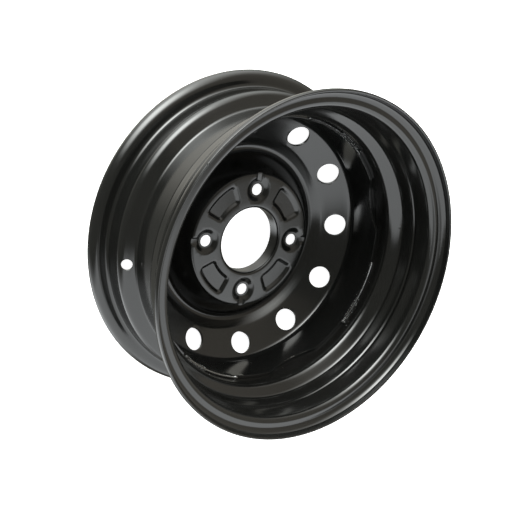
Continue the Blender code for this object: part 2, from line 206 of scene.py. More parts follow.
def loft_body(name, rings, stand=Matrix()):
    """Skin equal rings of points, cap both ends and point every face outward."""
    bm = bmesh.new()
    made = [[bm.verts.new(stand @ point) for point in ring] for ring in rings]
    for low, high in zip(made, made[1:]):
        for index in range(len(low)):
            bm.faces.new((low[index - 1], low[index], high[index], high[index - 1]))
    bm.faces.new(made[0])
    bm.faces.new(reversed(made[-1]))
    bmesh.ops.recalc_face_normals(bm, faces=bm.faces)
    mesh = bpy.data.meshes.new(name)
    bm.to_mesh(mesh)
    bm.free()
    return place(name, mesh)


def circle_ring(radius, sides, z):
    """A flat ring of points about Z."""
    turns = [math.tau * k / sides for k in range(sides)]
    return [Vector((radius * math.cos(turn), radius * math.sin(turn), z)) for turn in turns]


def round_punch(name, sides, steps, stand):
    """A round tool from (radius, z) steps."""
    return loft_body(name, [circle_ring(radius, sides, z) for radius, z in steps], stand)


print("a ring of 8 points starts at", tuple(circle_ring(1.0, 8, 0.0)[0]))

# %% [markdown]
# ## Geometry Nodes trees
#
# The whole wheel follows two rules. A section is swept once round the axle line, and a feature is
# then repeated at even steps round it. Each rule is one node tree with named inputs, so the rim
# band and the disc share the first, and the vents, bolt holes, recesses, pockets and notches share
# the second. Spinning the section in edit mode and cutting by hand gives the same mesh once, but a
# tree can be given another count or angle at any time. Each tree ends in Realize Instances and Set
# Material, and its result is baked to a plain mesh, because an exported model keeps meshes only.

# %% Helpers for node trees
SHARP_BEND = math.radians(35.0)
KINDS = {"geometry": "NodeSocketGeometry", "object": "NodeSocketObject", "float": "NodeSocketFloat",
         "int": "NodeSocketInt", "bool": "NodeSocketBool", "material": "NodeSocketMaterial"}


def start_tree(name, inputs):
    """A Geometry Nodes tree with named inputs; gives the tree, its input and its output node."""
    tree = bpy.data.node_groups.new(name, "GeometryNodeTree")
    tree.interface.new_socket(name="Geometry", in_out="INPUT", socket_type=KINDS["geometry"])
    for label, kind in inputs.items():
        tree.interface.new_socket(name=label, in_out="INPUT", socket_type=KINDS[kind])
    tree.interface.new_socket(name="Geometry", in_out="OUTPUT", socket_type=KINDS["geometry"])
    return tree, tree.nodes.new("NodeGroupInput"), tree.nodes.new("NodeGroupOutput")


def add_node(tree, kind, links=None, **settings):
    """Add a node, set its properties, and feed its inputs from sockets or plain values."""
    node = tree.nodes.new(kind)
    for key, value in settings.items():
        setattr(node, key, value)
    for label, value in (links or {}).items():
        socket = node.inputs[label]
        if isinstance(value, bpy.types.NodeSocket):
            tree.links.new(value, socket)
        else:
            socket.default_value = value
    return node


def calculate(tree, operation, *values):
    """The result of a Math node that is fed from sockets or plain values."""
    return add_node(tree, "ShaderNodeMath", dict(enumerate(values)), operation=operation).outputs[0]


def end_tree(tree, source, geometry, output):
    """Smooth the gentle bends, realize, give the material and finish the tree."""
    angle = add_node(tree, "GeometryNodeInputMeshEdgeAngle")
    crease = add_node(tree, "FunctionNodeCompare", {"A": angle.outputs["Unsigned Angle"],
                                                    "B": SHARP_BEND},
                      data_type="FLOAT", operation="GREATER_THAN")
    smooth = add_node(tree, "GeometryNodeSetShadeSmooth",
                      {"Geometry": geometry, "Shade Smooth": True})
    sharp = add_node(tree, "GeometryNodeSetShadeSmooth",
                     {"Geometry": smooth.outputs[0], "Selection": crease.outputs[0],
                      "Shade Smooth": False}, domain="EDGE")
    real = add_node(tree, "GeometryNodeRealizeInstances", {"Geometry": sharp.outputs[0]})
    painted = add_node(tree, "GeometryNodeSetMaterial",
                       {"Geometry": real.outputs[0], "Material": source.outputs["Material"]})
    tree.links.new(painted.outputs[0], output.inputs[0])
    return tree


def bake(name, stages):
    """Run (tree, values) stages on an empty mesh and keep the result as a plain mesh object."""
    item = place(name, bpy.data.meshes.new(name))
    for tree, values in stages:
        modifier = item.modifiers.new(tree.name, "NODES")
        modifier.node_group = tree
        for socket in tree.interface.items_tree:
            if socket.in_out == "INPUT" and socket.name in values:
                modifier[socket.identifier] = values[socket.name]
    graph = bpy.context.evaluated_depsgraph_get()
    mesh = bpy.data.meshes.new_from_object(item.evaluated_get(graph))
    item.modifiers.clear()
    item.data = mesh
    mesh.name = name
    return item


def discard(items):
    """Remove tools and sections that have done their work."""
    for item in items:
        bpy.data.objects.remove(item, do_unlink=True)


print("a tree takes inputs of these kinds:", ", ".join(KINDS))

# %% Tree one: turn a section about the axle line
turn_tree, source, output = start_tree("turn_section", {
    "Section": "object", "Sweep Radius": "float", "Steps": "int", "Material": "material"})
section = add_node(turn_tree, "GeometryNodeObjectInfo", {"Object": source.outputs["Section"]})
circle = add_node(turn_tree, "GeometryNodeCurvePrimitiveCircle",
                  {"Resolution": source.outputs["Steps"], "Radius": source.outputs["Sweep Radius"]})
swept = add_node(turn_tree, "GeometryNodeCurveToMesh",
                 {"Curve": circle.outputs["Curve"], "Profile Curve": section.outputs["Geometry"]})
end_tree(turn_tree, source, swept.outputs["Mesh"], output)
print(turn_tree.name, "has", len(turn_tree.nodes), "nodes")

# %% Tree two: repeat a press tool round the axle line and cut or add it
ring_tree, source, output = start_tree("ring_of_tools", {
    "Tool": "object", "Count": "int", "First Angle": "float", "Adds Metal": "bool",
    "Material": "material"})
tool = add_node(ring_tree, "GeometryNodeObjectInfo", {"Object": source.outputs["Tool"]})
line = add_node(ring_tree, "GeometryNodeMeshLine", {"Count": source.outputs["Count"],
                                                    "Offset": (0.0, 0.0, 0.0)})
index = add_node(ring_tree, "GeometryNodeInputIndex")
share = calculate(ring_tree, "DIVIDE", index.outputs[0], source.outputs["Count"])
turned = calculate(ring_tree, "MULTIPLY_ADD", share, math.tau, source.outputs["First Angle"])
spin = add_node(ring_tree, "ShaderNodeCombineXYZ", {"Z": turned})
copies = add_node(ring_tree, "GeometryNodeInstanceOnPoints",
                  {"Points": line.outputs[0], "Instance": tool.outputs["Geometry"],
                   "Rotation": spin.outputs[0]})
tools = add_node(ring_tree, "GeometryNodeRealizeInstances", {"Geometry": copies.outputs[0]})
cut = add_node(ring_tree, "GeometryNodeMeshBoolean", operation="DIFFERENCE", solver="EXACT")
joined = add_node(ring_tree, "GeometryNodeMeshBoolean", operation="UNION", solver="EXACT")
ring_tree.links.new(source.outputs["Geometry"], cut.inputs["Mesh 1"])
ring_tree.links.new(tools.outputs[0], cut.inputs["Mesh 2"])
ring_tree.links.new(tools.outputs[0], joined.inputs["Mesh 2"])
ring_tree.links.new(source.outputs["Geometry"], joined.inputs["Mesh 2"])
choice = add_node(ring_tree, "GeometryNodeSwitch",
                  {"Switch": source.outputs["Adds Metal"], "False": cut.outputs[0],
                   "True": joined.outputs[0]}, input_type="GEOMETRY")
end_tree(ring_tree, source, choice.outputs[0], output)
print(ring_tree.name, "has", len(ring_tree.nodes), "nodes")

# %% [markdown]
# ## Black paint
#
# The wheel's paint is a thin semi-gloss black. Up close it has three things that a flat black
# lacks: a fine orange-peel ripple, a slow waviness of the sheet under it, and dust and tiny pits
# that catch the light. The ripple and the waviness are bump from noise at two scales, and the
# specks are a cell pattern cut down to its smallest dots. The rim also carries a few dents and the
# fine crosswise ripples at its butt weld, drawn as heights round spots on it. All patterns read
# the object's own coordinates, so nothing slides when the wheel turns. The beads get a coarser
# ripple and more gloss.

# %% Paint material builder
def black_paint(name, base, roughness, peel, seed, marks=None, gloss=1.5):
    """Semi-gloss black with orange peel, sheet waviness, dust and fine specks."""
    material = bpy.data.materials.new(name)
    material.use_nodes = True
    tree = material.node_tree
    shader = tree.nodes["Principled BSDF"]
    where = add_node(tree, "ShaderNodeTexCoord").outputs["Object"]
    moved = add_node(tree, "ShaderNodeMapping",
                     {"Vector": where, "Location": (seed, seed / 3, 0.0)})
    place_at = moved.outputs[0]
    fine = add_node(tree, "ShaderNodeTexNoise", {"Vector": place_at, "Scale": 420.0, "Detail": 2.0})
    slow = add_node(tree, "ShaderNodeTexNoise", {"Vector": place_at, "Scale": 26.0, "Detail": 3.0})
    cloud = add_node(tree, "ShaderNodeTexNoise", {"Vector": place_at, "Scale": 9.0, "Detail": 5.0,
                                                  "Roughness": 0.6})
    cells = add_node(tree, "ShaderNodeTexVoronoi", {"Vector": place_at, "Scale": 260.0})
    speck = add_node(tree, "ShaderNodeMapRange",
                     {"Value": cells.outputs["Distance"], "From Min": 0.10, "From Max": 0.04})
    rare = add_node(tree, "ShaderNodeMapRange",
                    {"Value": cells.outputs["Color"], "From Min": 0.86, "From Max": 0.93})
    dot = calculate(tree, "MULTIPLY", speck.outputs[0], rare.outputs[0])
    film = add_node(tree, "ShaderNodeMapRange",
                    {"Value": cloud.outputs[0], "From Min": 0.35, "From Max": 0.75,
                     "To Min": 0.0, "To Max": 0.04})
    dust = calculate(tree, "MAXIMUM", dot, film.outputs[0])
    colour = add_node(tree, "ShaderNodeMix", {"Factor": dust}, data_type="RGBA")
    colour.inputs["A"].default_value = (*base, 1.0)
    colour.inputs["B"].default_value = (0.060, 0.056, 0.050, 1.0)
    tree.links.new(colour.outputs["Result"], shader.inputs["Base Color"])
    rough = add_node(tree, "ShaderNodeMapRange",
                     {"Value": dust, "To Min": roughness, "To Max": roughness + 0.25})
    tree.links.new(rough.outputs[0], shader.inputs["Roughness"])
    wave = add_node(tree, "ShaderNodeBump", {"Height": slow.outputs[0], "Strength": 0.05,
                                             "Distance": 0.0010})
    ripple = add_node(tree, "ShaderNodeBump", {"Height": fine.outputs[0], "Strength": peel,
                                               "Distance": 0.00012, "Normal": wave.outputs[0]})
    last = ripple
    if marks:
        last = add_node(tree, "ShaderNodeBump", {"Height": marks(tree, where), "Strength": 1.0,
                                                 "Distance": 0.001, "Normal": ripple.outputs[0]})
    tree.links.new(last.outputs[0], shader.inputs["Normal"])
    shader.inputs["IOR"].default_value = gloss
    return material


print("a paint is a base colour, a film of dust, specks and two scales of bump")

# %% Dents, nicks and the butt weld's ripples, then the three paints
# Each dent is an azimuth in degrees, a radius, a height, a size and a depth in millimetres.
DENTS = ((95.3, 0.1486, 0.0613, 0.0030, -0.20), (281.9, 0.1562, 0.0994, 0.0018, -0.12),
         (282.9, 0.1572, 0.0990, 0.0014, 0.08), (53.8, 0.1809, 0.1541, 0.0016, 0.35))
SEAM_AZIMUTH = math.radians(-81.5)
SEAM_FADE = (math.radians(10.0), math.radians(3.0))
SEAM_HEIGHTS = (0.136, 0.141)
SEAM_RIPPLES, SEAM_RIPPLE_HEIGHT = 230.0, 0.05


def rim_marks(tree, where):
    """Height in millimetres of the rolled band's dents, its nicks and its butt weld's ripples."""
    def clamp_between(value, low, high):
        return add_node(tree, "ShaderNodeMapRange",
                        {"Value": value, "From Min": low, "From Max": high},
                        interpolation_type="SMOOTHSTEP").outputs[0]

    height = None
    for azimuth, radius, z, size, depth in DENTS:
        turn = math.radians(azimuth)
        spot = (radius * math.cos(turn), radius * math.sin(turn), z)
        away = add_node(tree, "ShaderNodeVectorMath", {0: where, 1: spot}, operation="DISTANCE")
        near = clamp_between(away.outputs["Value"], size, 0.0)
        height = calculate(tree, "MULTIPLY_ADD", near, depth, height or 0.0)
    axes = add_node(tree, "ShaderNodeSeparateXYZ", {"Vector": where})
    azimuth = calculate(tree, "ARCTAN2", axes.outputs["Y"], axes.outputs["X"])
    spread = calculate(tree, "SUBTRACT", azimuth, SEAM_AZIMUTH)
    aside = calculate(tree, "ABSOLUTE", spread)
    close = clamp_between(aside, *SEAM_FADE)
    high = clamp_between(axes.outputs["Z"], *SEAM_HEIGHTS)
    lines = add_node(tree, "ShaderNodeTexNoise",
                     {"W": azimuth, "Scale": SEAM_RIPPLES, "Detail": 1.0}, noise_dimensions="1D")
    window = calculate(tree, "MULTIPLY", close, high)
    combed = calculate(tree, "MULTIPLY", window, lines.outputs[0])
    return calculate(tree, "MULTIPLY_ADD", combed, SEAM_RIPPLE_HEIGHT, height)


rim_paint = black_paint("rim_black", (0.0048, 0.0049, 0.0046), roughness=0.12, peel=0.05,
                        seed=0.37, marks=rim_marks)
disc_paint = black_paint("disc_black", (0.0050, 0.0053, 0.0051), roughness=0.15, peel=0.05,
                         seed=1.93)
weld_paint = black_paint("weld_black", (0.0048, 0.0048, 0.0047), roughness=0.13, peel=0.30,
                         seed=4.11, gloss=2.4)
print("paints:", rim_paint.name, disc_paint.name, weld_paint.name)

# %% [markdown]
# ## The rolled rim band
#
# The band is one strip of 2.4 mm steel. From the lip it rolls over the flange, turns at the bead's
# heel and runs along a five degree seat to a low hump. Inboard a nearly level ledge follows, and a
# steep wall drops from it into the well. Outboard the wall follows the hump at once, and the valve
# hole sits in it. All of it is one turned section, so the first tree makes it. The well's fillets
# are as important as its radius, because each one catches the lamp as a bright line round the
# wheel. Rings of vertices moved by hand would also do, but one section keeps both faces of the
# sheet true.

# %% Section of the rim band
def flange_side(face_z, inward):
    """Corners of one flange, from its lip to the bead's heel."""
    lip_radius = FLANGE_RADIUS - FLANGE_ROLL * (1 - math.cos(LIP_WRAP))
    wrap_end = (lip_radius, face_z - inward * LIP_OVERHANG, 0.0)
    roll_tangent = FLANGE_ROLL * math.tan((math.pi / 2 + LIP_WRAP) / 2)
    roll = (FLANGE_RADIUS - FLANGE_ROLL + roll_tangent, face_z, FLANGE_ROLL)
    return [wrap_end, roll, (BEAD_RADIUS, face_z, HEEL_FILLET)]


def seat_radius(inset):
    """Radius of the tapered bead seat at a distance from its flange."""
    return BEAD_RADIUS - inset * math.tan(SEAT_TAPER)


# Each corner is a radius, a distance from its flange's face and a bend radius: the seat's end, the
# hump, on the inboard side the ledge too, and the top of the wall that drops into the well.
INNER_CORNERS = ((seat_radius(INNER_SEAT_WIDTH), INNER_SEAT_WIDTH, 0.0040),
                 (seat_radius(INNER_SEAT_WIDTH) + INNER_HUMP_RISE, 0.0230, 0.0030),
                 (0.1627, 0.0257, 0.0030), (0.1608, 0.0409, 0.0095))
OUTER_CORNERS = ((seat_radius(OUTER_SEAT_WIDTH), OUTER_SEAT_WIDTH, 0.0050),
                 (0.1641, 0.0204, 0.0040), (0.1639, 0.0268, 0.0078))
INNER_WELL_FILLET, OUTER_WELL_FILLET = 0.0075, 0.0036

inner_seat = [(radius, INNER_FACE_Z - inset, bend) for radius, inset, bend in INNER_CORNERS]
inner_top = Vector(inner_seat[-1][:2])
inner_well_z = inner_top.y - (inner_top.x - WELL_RADIUS) / math.tan(INNER_WALL_SLOPE)
outer_seat = [(radius, OUTER_FACE_Z + inset, bend) for radius, inset, bend in OUTER_CORNERS]
outer_top = Vector(outer_seat[-1][:2])
outer_well_z = outer_top.y + (outer_top.x - WELL_RADIUS) / math.tan(OUTER_WALL_SLOPE)
rim_corners = (flange_side(INNER_FACE_Z, -1) + inner_seat
               + [(WELL_RADIUS, inner_well_z, INNER_WELL_FILLET),
                  (WELL_RADIUS, outer_well_z, OUTER_WELL_FILLET)]
               + outer_seat[::-1] + flange_side(OUTER_FACE_Z, 1)[::-1])
rim_loop = sheet_loop(split_long(bent_path(rim_corners)), RIM_SHEET, LIP_EDGE_ROUND - LIP_CLEARANCE)
print("rim section:", len(rim_loop), "points")

# %% Turn the rim and pierce its valve hole
RIM_STEPS = 288
PUNCH_REACH = 0.0100
rim_section = section_curve("rim_section", rim_loop, BEAD_RADIUS)
well_end = Vector((WELL_RADIUS, outer_well_z))
slope = (outer_top - well_end).normalized()
valve_spot = well_end.lerp(outer_top, VALVE_WALL_SHARE)
valve_stand = (Matrix.Translation((valve_spot.x, 0, valve_spot.y))
               @ Matrix.Rotation(math.atan2(-slope.y, slope.x), 4, "Y"))
valve_tool = round_punch("valve_tool", 40, ((VALVE_HOLE_RADIUS, -PUNCH_REACH),
                                            (VALVE_HOLE_RADIUS, -0.0002),
                                            (VALVE_HOLE_RADIUS + VALVE_CHAMFER, 0.0001),
                                            (VALVE_HOLE_RADIUS + VALVE_CHAMFER, PUNCH_REACH)),
                         valve_stand)
rim = bake("rolled_rim", [
    (turn_tree, {"Section": rim_section, "Sweep Radius": BEAD_RADIUS, "Steps": RIM_STEPS,
                 "Material": rim_paint}),
    (ring_tree, {"Tool": valve_tool, "Count": 1, "First Angle": VALVE_AZIMUTH, "Adds Metal": False,
                 "Material": rim_paint})])
discard([rim_section, valve_tool])
print("rim band:", len(rim.data.polygons), "faces")

# %% [markdown]
# ## The pressed centre disc
#
# A press forms the disc from one round blank: a short flange round the bore, a flat pad that bolts
# to the hub, a deep valley, a sloping band and a wall that slides inside the rim. The turned
# section gives that bowl. Then each press tool is a lofted body whose outline shrinks as it goes
# down, with a soft shoulder at the top and a soft foot at the bottom, because steel bends there
# and doesn't break. On the far side the metal bulges, so a larger tool adds metal there before the
# smaller cuts.

# %% Section of the disc
DISC_STEPS = 288
# Each corner is a radius, a height and a bend radius.
disc_corners = [(BORE_RADIUS, PAD_Z - BORE_FLANGE_LENGTH, 0.0), (BORE_RADIUS, PAD_Z, 0.0037),
                (PAD_RADIUS, PAD_Z, 0.0042), (VALLEY_RADIUS, VALLEY_Z, 0.0070),
                (STEP_RADIUS, STEP_Z, 0.0120),
                (FLANGE_INSIDE, DISC_CORNER_Z, 0.0090), (FLANGE_INSIDE, DISC_EDGE_Z, 0.0)]
disc_loop = sheet_loop(split_long(bent_path(disc_corners)), DISC_SHEET, 0.0)
disc_section = section_curve("disc_section", disc_loop, VALLEY_RADIUS)
print("disc section:", len(disc_loop), "points")

# %% Outlines that can grow and shrink
POCKET_INNER, POCKET_OUTER, POCKET_HALF_ANGLE = 0.0468, 0.0690, math.radians(18.9)
POCKET_CORNER, SHARPEST_CORNER = 0.0055, 0.0008
PRESS_ARC_STEP = math.radians(12.0)


def pocket_ring(grow, z):
    """Outline of a curved pocket centred on +X, grown outward by a distance."""
    corner = max(POCKET_CORNER + grow, SHARPEST_CORNER)
    inset = corner - grow
    ring = []
    for radius, side, first in ((POCKET_OUTER, -1, -90), (POCKET_OUTER, 1, 0),
                                (POCKET_INNER, 1, 90), (POCKET_INNER, -1, 180)):
        outer = radius == POCKET_OUTER
        arm = radius - inset if outer else radius + inset
        spread = side * (POCKET_HALF_ANGLE - math.asin(inset / arm))
        middle = Vector((arm * math.cos(spread), arm * math.sin(spread), z))
        for step in range(7):
            turn = spread + math.radians(first + 15 * step)
            ring.append(middle + Vector((math.cos(turn), math.sin(turn), 0.0)) * corner)
        if side == (1 if outer else -1):
            continue
        edge = radius + grow if outer else radius - grow
        ring += [Vector((edge * math.cos(turn), edge * math.sin(turn), z))
                 for turn in (spread * (1 - 2 * k / 12) for k in range(1, 12))]
    return ring


def slot_ring(half_width, inner, outer, z):
    """Outline of a radial slot along +X with square corners."""
    return [Vector(point) for point in ((inner, -half_width, z), (outer, -half_width, z),
                                        (outer, half_width, z), (inner, half_width, z))]


def press_profile(depth, draft, lead, shoulder, foot):
    """(grow, z) steps of a press tool: almost flat lead-in, shoulder, drafted wall, foot."""
    corners = [(lead, 0.00006, 0.0), (0.0, 0.0, shoulder), (-draft, -depth, foot),
               (-draft - foot * 1.5, -depth - 0.00001, 0.0)]
    return [tuple(point) for point, normal in bent_path(corners, PRESS_ARC_STEP)]


print("pocket outline:", len(pocket_ring(0.0, 0.0)), "points")

# %% Press tools for the bolt recesses, their slots and the pockets
RECESS_RADIUS, RECESS_DEPTH, RECESS_DRAFT = 0.0138, 0.0031, 0.0050
SLOT_WIDTH, SLOT_DEPTH, SLOT_DRAFT = 0.0104, 0.0016, 0.0026
SLOT_INNER, SLOT_OUTER = BOLT_CIRCLE_RADIUS + 0.0070, 0.0850
POCKET_DEPTH, POCKET_DRAFT = 0.0026, 0.0034
at_bolt = Matrix.Translation((BOLT_CIRCLE_RADIUS, 0, 0))
above_pad = PAD_Z + 0.001


def recess_ring(grow, z):
    """Outline of a round bolt recess, grown outward by a distance."""
    return circle_ring(RECESS_RADIUS + grow, 72, z)


def tool_from(name, profile, outline, base_z, top_z, stand=Matrix()):
    """Loft an outline through a press profile, from above the sheet down to its floor."""
    rings = [outline(profile[0][0], top_z)] + [outline(grow, base_z + z) for grow, z in profile]
    return loft_body(name, rings, stand)


recess_tool = tool_from("recess_tool",
                        press_profile(RECESS_DEPTH, RECESS_DRAFT, lead=0.0022, shoulder=0.0070,
                                      foot=0.0014),
                        recess_ring, PAD_Z, above_pad, at_bolt)
slot_tool = tool_from("slot_tool",
                      press_profile(SLOT_DEPTH, SLOT_DRAFT, lead=0.0018, shoulder=0.0050,
                                    foot=0.0010),
                      lambda grow, z: slot_ring(SLOT_WIDTH / 2 + grow, SLOT_INNER, SLOT_OUTER, z),
                      PAD_Z, above_pad)
pocket_tool = tool_from("pocket_tool",
                        press_profile(POCKET_DEPTH, POCKET_DRAFT, lead=0.0030, shoulder=0.0045,
                                      foot=0.0005),
                        pocket_ring, PAD_Z, above_pad)
print("press tools:", recess_tool.name, slot_tool.name, pocket_tool.name)

# %% Bulges that the press leaves on the outboard side
PRESSED_WALL = 0.0013
SLOT_BACK_LIFT = 0.00025
back_z = PAD_Z - DISC_SHEET


def bulge_profile(depth, draft, edge):
    """(grow, z) steps of a bulge: wide foot in the sheet, drafted wall, soft crest."""
    corners = [(PRESSED_WALL, 0.001, 0.0), (PRESSED_WALL, 0.0, 0.0002),
               (PRESSED_WALL - draft, -depth, edge),
               (PRESSED_WALL - draft - edge * 2, -depth - 0.00001, 0.0)]
    return [tuple(point) for point, normal in bent_path(corners, PRESS_ARC_STEP)]


def slot_back_ring(grow, z):
    """Outline of a slot's bulge, which ends where the pad turns down into the valley."""
    return slot_ring(SLOT_WIDTH / 2 + grow, SLOT_INNER, PAD_RADIUS + DISC_SHEET * 0.4,
                     min(z, back_z + SLOT_BACK_LIFT))


recess_bulge = tool_from("recess_bulge", bulge_profile(RECESS_DEPTH, RECESS_DRAFT / 2, 0.0012),
                         recess_ring, back_z, back_z + 0.0012, at_bolt)
slot_bulge = tool_from("slot_bulge", bulge_profile(SLOT_DEPTH, SLOT_DRAFT / 2, 0.0006),
                       slot_back_ring, back_z, back_z + 0.0003)
pocket_bulge = tool_from("pocket_bulge", bulge_profile(POCKET_DEPTH, POCKET_DRAFT, 0.0008),
                         pocket_ring, back_z, back_z + 0.0012)
print("bulges:", recess_bulge.name, slot_bulge.name, pocket_bulge.name)

# %% Punches for the bolt holes, the vents and the edge's notches
floor_z = PAD_Z - RECESS_DEPTH
hole_tool = round_punch("hole_tool", 48, ((NUT_SEAT_RADIUS, floor_z - DISC_SHEET - 0.0005),
                                          (BOLT_HOLE_RADIUS, floor_z - 0.0004),
                                          (BOLT_HOLE_RADIUS, floor_z - 0.0001),
                                          (BOLT_HOLE_RADIUS + 0.0001, floor_z + 0.0001),
                                          (BOLT_HOLE_RADIUS + 0.0001, above_pad)), at_bolt)
vent_height = STEP_Z + (VENT_CIRCLE_RADIUS - STEP_RADIUS) * math.tan(BAND_SLOPE)
vent_stand = (Matrix.Translation((VENT_CIRCLE_RADIUS, 0, vent_height))
              @ Matrix.Rotation(-BAND_SLOPE, 4, "Y"))
# The band is a cone, so each ring of the vent's punch is bent to follow it.
cone_bend = 2 * VENT_CIRCLE_RADIUS / math.sin(BAND_SLOPE)
vent_rings = [[Vector((point.x, point.y, point.z + point.y ** 2 / cone_bend))
               for point in circle_ring(radius, 96, z)]
              for radius, z in ((VENT_RADIUS, -PUNCH_REACH), (VENT_RADIUS, -0.0002),
                                (VENT_RADIUS + 0.0001, 0.0), (VENT_RADIUS + 0.0003, 0.0001),
                                (VENT_RADIUS + 0.0003, PUNCH_REACH))]
vent_tool = loft_body("vent_tool", vent_rings, vent_stand)
notch_stand = (Matrix.Translation((FLANGE_INSIDE, 0, DISC_EDGE_Z - NOTCH_DEPTH + NOTCH_RADIUS))
               @ Matrix.Rotation(math.pi / 2, 4, "Y"))
notch_tool = round_punch("notch_tool", 240, ((NOTCH_RADIUS, -PUNCH_REACH),
                                             (NOTCH_RADIUS, PUNCH_REACH)), notch_stand)
print("punches:", hole_tool.name, vent_tool.name, notch_tool.name)

# %% The burr that the shear leaves on the disc's edge
BURR_RADIUS, BURR_SIDES, BURR_STEPS = 0.00032, 8, 900


def edge_height(turn):
    """Height of the disc's cut edge at an angle, with its four notches."""
    step = math.tau / NOTCH_COUNT
    spread = (turn - NOTCH_AZIMUTH + step / 2) % step - step / 2
    across = FLANGE_INSIDE * math.sin(spread)
    if abs(across) >= NOTCH_RADIUS:
        return DISC_EDGE_Z
    rise = NOTCH_RADIUS - math.sqrt(NOTCH_RADIUS ** 2 - across ** 2)
    return min(DISC_EDGE_Z, DISC_EDGE_Z - NOTCH_DEPTH + rise)


burr = bmesh.new()
rings = []
for step in range(BURR_STEPS):
    turn = math.tau * step / BURR_STEPS
    out, up = Vector((math.cos(turn), math.sin(turn), 0.0)), Vector((0.0, 0.0, 1.0))
    shake = noise.noise(out * 14.0) * 0.0003 + noise.noise(out * 70.0) * 0.00012
    middle = out * (FLANGE_INSIDE + 0.0002 + shake) + up * (edge_height(turn) - 0.0001 + shake)
    size = BURR_RADIUS * (1.0 + 0.5 * noise.noise(out * 45.0))
    angles = [math.tau * k / BURR_SIDES for k in range(BURR_SIDES)]
    rings.append([burr.verts.new(middle + out * size * math.cos(angle)
                                 + up * (size * math.sin(angle))) for angle in angles])
for here, there in zip(rings, rings[1:] + rings[:1]):
    for k in range(BURR_SIDES):
        burr.faces.new((here[k - 1], here[k], there[k], there[k - 1]))
bmesh.ops.recalc_face_normals(burr, faces=burr.faces)
burr_mesh = bpy.data.meshes.new("edge_burr")
burr.to_mesh(burr_mesh)
burr.free()
edge_burr = place("edge_burr", burr_mesh)
print("burr:", len(burr_mesh.polygons), "faces")

# %% Press and pierce the disc
half_step = math.pi / BOLT_COUNT


def ring_stage(tool, count, first, adds=False):
    """One stage of the second tree: a tool, how often, from which angle, and if it adds metal."""
    return (ring_tree, {"Tool": tool, "Count": count, "First Angle": first, "Adds Metal": adds,
                        "Material": disc_paint})


disc = bake("pressed_disc", [
    (turn_tree, {"Section": disc_section, "Sweep Radius": VALLEY_RADIUS, "Steps": DISC_STEPS,
                 "Material": disc_paint}),
    ring_stage(recess_bulge, BOLT_COUNT, 0.0, True),
    ring_stage(slot_bulge, BOLT_COUNT, 0.0, True),
    ring_stage(pocket_bulge, BOLT_COUNT, half_step, True),
    ring_stage(recess_tool, BOLT_COUNT, 0.0),
    ring_stage(slot_tool, BOLT_COUNT, 0.0),
    ring_stage(pocket_tool, BOLT_COUNT, half_step),
    ring_stage(hole_tool, BOLT_COUNT, 0.0),
    ring_stage(vent_tool, VENT_COUNT, VENT_AZIMUTH),
    ring_stage(notch_tool, NOTCH_COUNT, NOTCH_AZIMUTH),
    ring_stage(edge_burr, 1, 0.0, True)])
discard([disc_section, recess_bulge, slot_bulge, pocket_bulge, recess_tool, slot_tool, pocket_tool,
         hole_tool, vent_tool, notch_tool, edge_burr])
print("disc:", len(disc.data.polygons), "faces")

# %% [markdown]
# ## The weld beads
#
# Each bead is laid by hand or robot along the corner between the disc's edge and the rim. The
# molten pool freezes in little overlapping crescents, so the bead's surface is a row of ripples
# that lean along its length, and small balls of spatter stick to the steel beside it. The third
# tree sweeps a round section along an arc, swells it in ripples and drops spatter round it from a
# fixed seed. The balls lie thickest where the arc was struck, so they come in five lots with
# heights of their own.

# %% Tree three: a rippled bead
ARC_POINTS, BEAD_SIDES = 420, 20
CRESCENT_PITCH = 0.0014
END_LEVELS = ((0.0, 0.15), (1.0, 0.25))
BODY_LEVELS = ((0.012, 0.85), (0.05, 1.05), (0.12, 0.85), (0.55, 0.75), (0.92, 0.80), (0.975, 0.95))
bead_tree, source, output = start_tree("weld_bead", {
    "Arc Radius": "float", "Height": "float", "Start Angle": "float", "Sweep": "float",
    "Bead Radius": "float", "Ripple": "float", "Spatter Count": "int", "Seed": "int",
    "Material": "material"})
arc = add_node(bead_tree, "GeometryNodeCurveArc",
               {"Resolution": ARC_POINTS, "Radius": source.outputs["Arc Radius"],
                "Start Angle": source.outputs["Start Angle"],
                "Sweep Angle": source.outputs["Sweep"]})
factor = add_node(bead_tree, "GeometryNodeSplineParameter")
ends = add_node(bead_tree, "ShaderNodeFloatCurve", {"Value": factor.outputs["Factor"]})
for spot, level in zip(ends.mapping.curves[0].points, END_LEVELS):
    spot.location = level
for level in BODY_LEVELS:
    ends.mapping.curves[0].points.new(*level)
ends.mapping.update()
lane = calculate(bead_tree, "MULTIPLY", factor.outputs["Length"], 1.0 / CRESCENT_PITCH)
crescent = calculate(bead_tree, "FRACT", lane)
slope_up = calculate(bead_tree, "POWER", crescent, 0.6)
wander = add_node(bead_tree, "ShaderNodeTexNoise", {"Scale": 220.0, "Detail": 2.0,
                                                    "W": source.outputs["Seed"]},
                  noise_dimensions="4D")
bumps = calculate(bead_tree, "ADD", slope_up, wander.outputs[0])
rise = calculate(bead_tree, "MULTIPLY_ADD", bumps, source.outputs["Ripple"],
                 source.outputs["Bead Radius"])
thick = calculate(bead_tree, "MULTIPLY", rise, ends.outputs[0])
section = add_node(bead_tree, "GeometryNodeCurvePrimitiveCircle",
                   {"Resolution": BEAD_SIDES, "Radius": 1.0})
tube = add_node(bead_tree, "GeometryNodeCurveToMesh",
                {"Curve": arc.outputs["Curve"], "Profile Curve": section.outputs["Curve"],
                 "Scale": thick, "Fill Caps": True})
grain = add_node(bead_tree, "ShaderNodeTexNoise", {"Scale": 1500.0, "Detail": 3.0,
                                                   "W": source.outputs["Seed"]},
                 noise_dimensions="4D")
normal = add_node(bead_tree, "GeometryNodeInputNormal")
rough = calculate(bead_tree, "MULTIPLY_ADD", grain.outputs[0], 0.0004, -0.0002)
